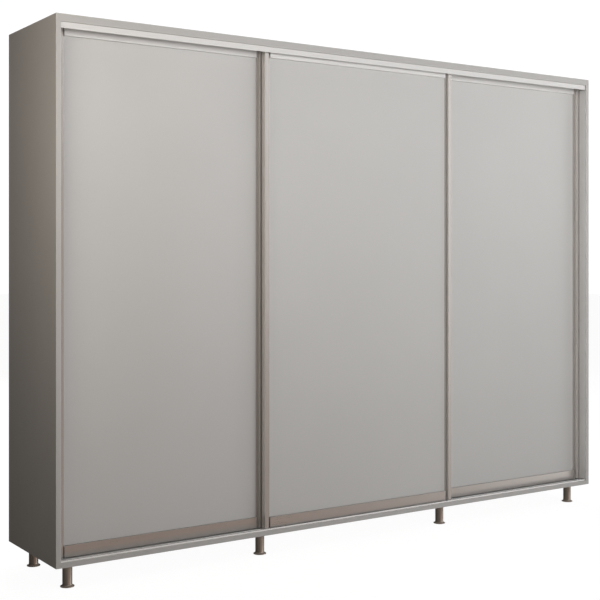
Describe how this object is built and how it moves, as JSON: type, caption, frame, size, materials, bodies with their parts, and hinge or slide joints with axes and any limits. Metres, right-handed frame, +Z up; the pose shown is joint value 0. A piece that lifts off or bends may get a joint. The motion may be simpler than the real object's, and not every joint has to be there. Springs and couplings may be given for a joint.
{
  "type": "sliding door wardrobe",
  "caption": "Wide free-standing wardrobe on short round legs, with sliding doors in slim metal frames on a double track and shelves and clothes rails inside.",
  "frame": {"origin": "on the floor below the middle of the carcass", "axes": "+X along the width to the right seen from the front, +Y to the back, +Z up; the doors are on the -Y side"},
  "size_m": [3.2, 0.56, 2.4],
  "materials": {
    "carcass_board": "light grey melamine, satin",
    "back_sheet": "light grey lacquered fibreboard, matte",
    "door_panel": "light grey lacquer, satin",
    "frame_aluminium": "champagne anodised, satin",
    "leg_metal": "warm satin nickel",
    "bright_steel": "bright plated",
    "guide_nylon": "natural nylon",
    "roller_plastic": "black, moulded",
    "glide_plastic": "black, moulded",
    "bumper_rubber": "grey, soft"
  },
  "bodies": {
    "carcass": {"side_panel_left": "carcass_board", "side_panel_right": "carcass_board", "top_panel": "carcass_board", "bottom_panel": "carcass_board", "partition_left": "carcass_board", "partition_right": "carcass_board", "back_sheet_left": "back_sheet", "back_sheet_middle": "back_sheet", "back_sheet_right": "back_sheet", "hat_shelf_left": "carcass_board", "hat_shelf_right": "carcass_board", "shelf_1": "carcass_board", "shelf_2": "carcass_board", "shelf_3": "carcass_board", "shelf_4": "carcass_board", "shelf_pins": "bright_steel", "hanging_rail_left": "bright_steel", "hanging_rail_right": "bright_steel", "rail_flanges": "bright_steel", "top_track": "frame_aluminium", "bottom_track": "frame_aluminium", "side_profiles": "frame_aluminium", "door_bumpers": "bumper_rubber", "legs": "leg_metal", "screws": "bright_steel"},
    "glide_front_1_body": {"glide_front_1": "glide_plastic"},
    "glide_front_2_body": {"glide_front_2": "glide_plastic"},
    "glide_front_3_body": {"glide_front_3": "glide_plastic"},
    "glide_front_4_body": {"glide_front_4": "glide_plastic"},
    "glide_rear_1_body": {"glide_rear_1": "glide_plastic"},
    "glide_rear_2_body": {"glide_rear_2": "glide_plastic"},
    "glide_rear_3_body": {"glide_rear_3": "glide_plastic"},
    "glide_rear_4_body": {"glide_rear_4": "glide_plastic"},
    "door_left": {"left_door_panel": "door_panel", "left_door_stile_left": "frame_aluminium", "left_door_stile_right": "frame_aluminium", "left_door_top_rail": "frame_aluminium", "left_door_bottom_rail": "frame_aluminium", "left_door_guides": "guide_nylon", "left_door_carriages": "bright_steel"},
    "door_left_wheel_left": {"left_door_wheel_left": "roller_plastic"},
    "door_left_wheel_right": {"left_door_wheel_right": "roller_plastic"},
    "door_middle": {"middle_door_panel": "door_panel", "middle_door_stile_left": "frame_aluminium", "middle_door_stile_right": "frame_aluminium", "middle_door_top_rail": "frame_aluminium", "middle_door_bottom_rail": "frame_aluminium", "middle_door_guides": "guide_nylon", "middle_door_carriages": "bright_steel"},
    "door_middle_wheel_left": {"middle_door_wheel_left": "roller_plastic"},
    "door_middle_wheel_right": {"middle_door_wheel_right": "roller_plastic"},
    "door_right": {"right_door_panel": "door_panel", "right_door_stile_left": "frame_aluminium", "right_door_stile_right": "frame_aluminium", "right_door_top_rail": "frame_aluminium", "right_door_bottom_rail": "frame_aluminium", "right_door_guides": "guide_nylon", "right_door_carriages": "bright_steel"},
    "door_right_wheel_left": {"right_door_wheel_left": "roller_plastic"},
    "door_right_wheel_right": {"right_door_wheel_right": "roller_plastic"}
  },
  "joints": [
    {"name": "door_left_slide", "type": "slide", "parent": "carcass", "child": "door_left", "axis": [1, 0, 0], "range_m": [-0.005, 1.113]},
    {"name": "door_middle_slide", "type": "slide", "parent": "carcass", "child": "door_middle", "axis": [1, 0, 0], "range_m": [-1.006, 0.994]},
    {"name": "door_right_slide", "type": "slide", "parent": "carcass", "child": "door_right", "axis": [1, 0, 0], "range_m": [-1.113, 0]},
    {"name": "door_left_wheel_left_roll", "type": "hinge", "parent": "door_left", "child": "door_left_wheel_left", "pos_m": [-1.488, -0.209, 0.1418], "axis": [0, 1, 0], "continuous": true},
    {"name": "door_left_wheel_right_roll", "type": "hinge", "parent": "door_left", "child": "door_left_wheel_right", "pos_m": [-0.638, -0.209, 0.1418], "axis": [0, 1, 0], "continuous": true},
    {"name": "door_middle_wheel_left_roll", "type": "hinge", "parent": "door_middle", "child": "door_middle_wheel_left", "pos_m": [-0.484, -0.243, 0.1418], "axis": [0, 1, 0], "continuous": true},
    {"name": "door_middle_wheel_right_roll", "type": "hinge", "parent": "door_middle", "child": "door_middle_wheel_right", "pos_m": [0.496, -0.243, 0.1418], "axis": [0, 1, 0], "continuous": true},
    {"name": "door_right_wheel_left_roll", "type": "hinge", "parent": "door_right", "child": "door_right_wheel_left", "pos_m": [0.643, -0.209, 0.1418], "axis": [0, 1, 0], "continuous": true},
    {"name": "door_right_wheel_right_roll", "type": "hinge", "parent": "door_right", "child": "door_right_wheel_right", "pos_m": [1.493, -0.209, 0.1418], "axis": [0, 1, 0], "continuous": true},
    {"name": "glide_front_1_screw", "type": "slide", "parent": "carcass", "child": "glide_front_1_body", "axis": [0, 0, -1], "range_m": [0, 0.012]},
    {"name": "glide_front_2_screw", "type": "slide", "parent": "carcass", "child": "glide_front_2_body", "axis": [0, 0, -1], "range_m": [0, 0.012]},
    {"name": "glide_front_3_screw", "type": "slide", "parent": "carcass", "child": "glide_front_3_body", "axis": [0, 0, -1], "range_m": [0, 0.012]},
    {"name": "glide_front_4_screw", "type": "slide", "parent": "carcass", "child": "glide_front_4_body", "axis": [0, 0, -1], "range_m": [0, 0.012]},
    {"name": "glide_rear_1_screw", "type": "slide", "parent": "carcass", "child": "glide_rear_1_body", "axis": [0, 0, -1], "range_m": [0, 0.012]},
    {"name": "glide_rear_2_screw", "type": "slide", "parent": "carcass", "child": "glide_rear_2_body", "axis": [0, 0, -1], "range_m": [0, 0.012]},
    {"name": "glide_rear_3_screw", "type": "slide", "parent": "carcass", "child": "glide_rear_3_body", "axis": [0, 0, -1], "range_m": [0, 0.012]},
    {"name": "glide_rear_4_screw", "type": "slide", "parent": "carcass", "child": "glide_rear_4_body", "axis": [0, 0, -1], "range_m": [0, 0.012]}
  ],
  "couplings": [
    {"joint": "door_left_wheel_left_roll", "follows": "door_left_slide", "rad_per_m": 80},
    {"joint": "door_left_wheel_right_roll", "follows": "door_left_slide", "rad_per_m": 80},
    {"joint": "door_middle_wheel_left_roll", "follows": "door_middle_slide", "rad_per_m": 80},
    {"joint": "door_middle_wheel_right_roll", "follows": "door_middle_slide", "rad_per_m": 80},
    {"joint": "door_right_wheel_left_roll", "follows": "door_right_slide", "rad_per_m": 80},
    {"joint": "door_right_wheel_right_roll", "follows": "door_right_slide", "rad_per_m": 80}
  ]
}
